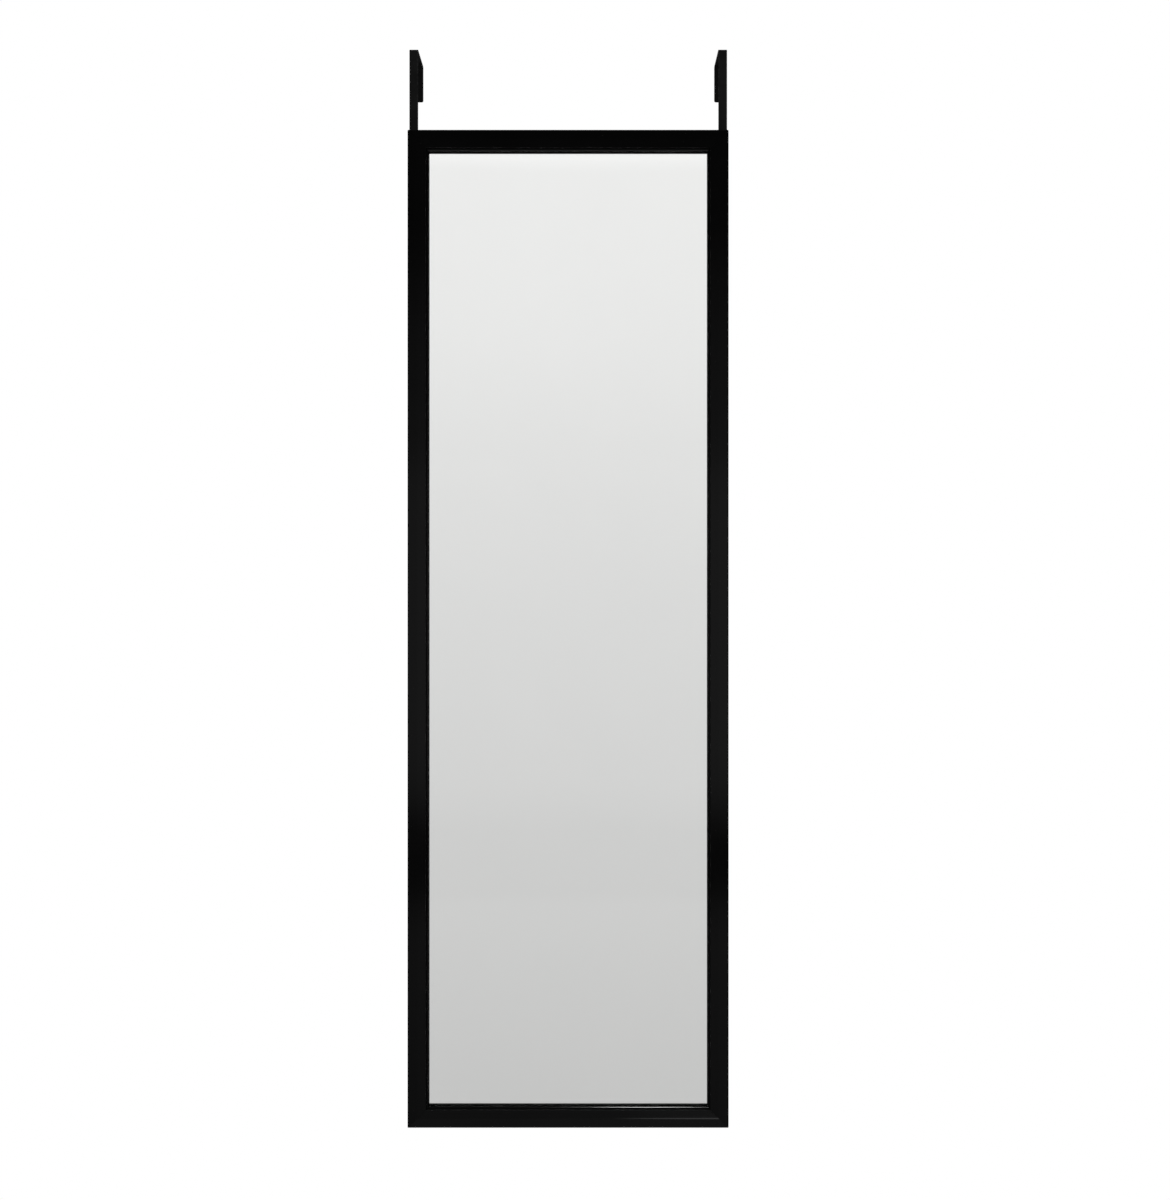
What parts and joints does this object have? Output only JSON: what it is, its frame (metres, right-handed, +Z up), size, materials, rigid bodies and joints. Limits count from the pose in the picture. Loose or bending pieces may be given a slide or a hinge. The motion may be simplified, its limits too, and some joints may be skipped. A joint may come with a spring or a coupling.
{
  "type": "over the door mirror",
  "caption": "Tall rectangular mirror in a slim black mitred moulding, hung from the top edge of a door by bent flat steel hooks.",
  "frame": {"origin": "middle of the door's top front edge, midway between the hooks", "axes": "+Z up, +X to the viewer's right, +Y from the front of the mirror through the door"},
  "size_m": [0.332, 0.0585, 1.121],
  "materials": {
    "frame_black": "semi-gloss black moulding",
    "mirror": "plain silvered glass",
    "foam": "soft matt foam",
    "hardboard": "pressed fibre board",
    "zinc_steel": "zinc-plated",
    "strap_black": "satin black powder coat",
    "felt": "black felt",
    "bumper_rubber": "soft matt rubber"
  },
  "bodies": {
    "root": {"top_rail": "frame_black", "right_stile": "frame_black", "bottom_rail": "frame_black", "left_stile": "frame_black", "corner_nails_top_left": "zinc_steel", "corner_nails_top_right": "zinc_steel", "corner_nails_bottom_left": "zinc_steel", "corner_nails_bottom_right": "zinc_steel", "mirror_glass": "mirror", "foam_sheet": "foam", "backing_board": "hardboard", "retaining_points_top": "zinc_steel", "retaining_points_right": "zinc_steel", "retaining_points_bottom": "zinc_steel", "retaining_points_left": "zinc_steel", "left_hook": "strap_black", "right_hook": "strap_black", "left_hook_upper_screw": "zinc_steel", "left_hook_lower_screw": "zinc_steel", "right_hook_upper_screw": "zinc_steel", "right_hook_lower_screw": "zinc_steel", "left_hook_pad": "felt", "right_hook_pad": "felt", "left_bumper": "bumper_rubber", "right_bumper": "bumper_rubber"}
  },
  "joints": []
}
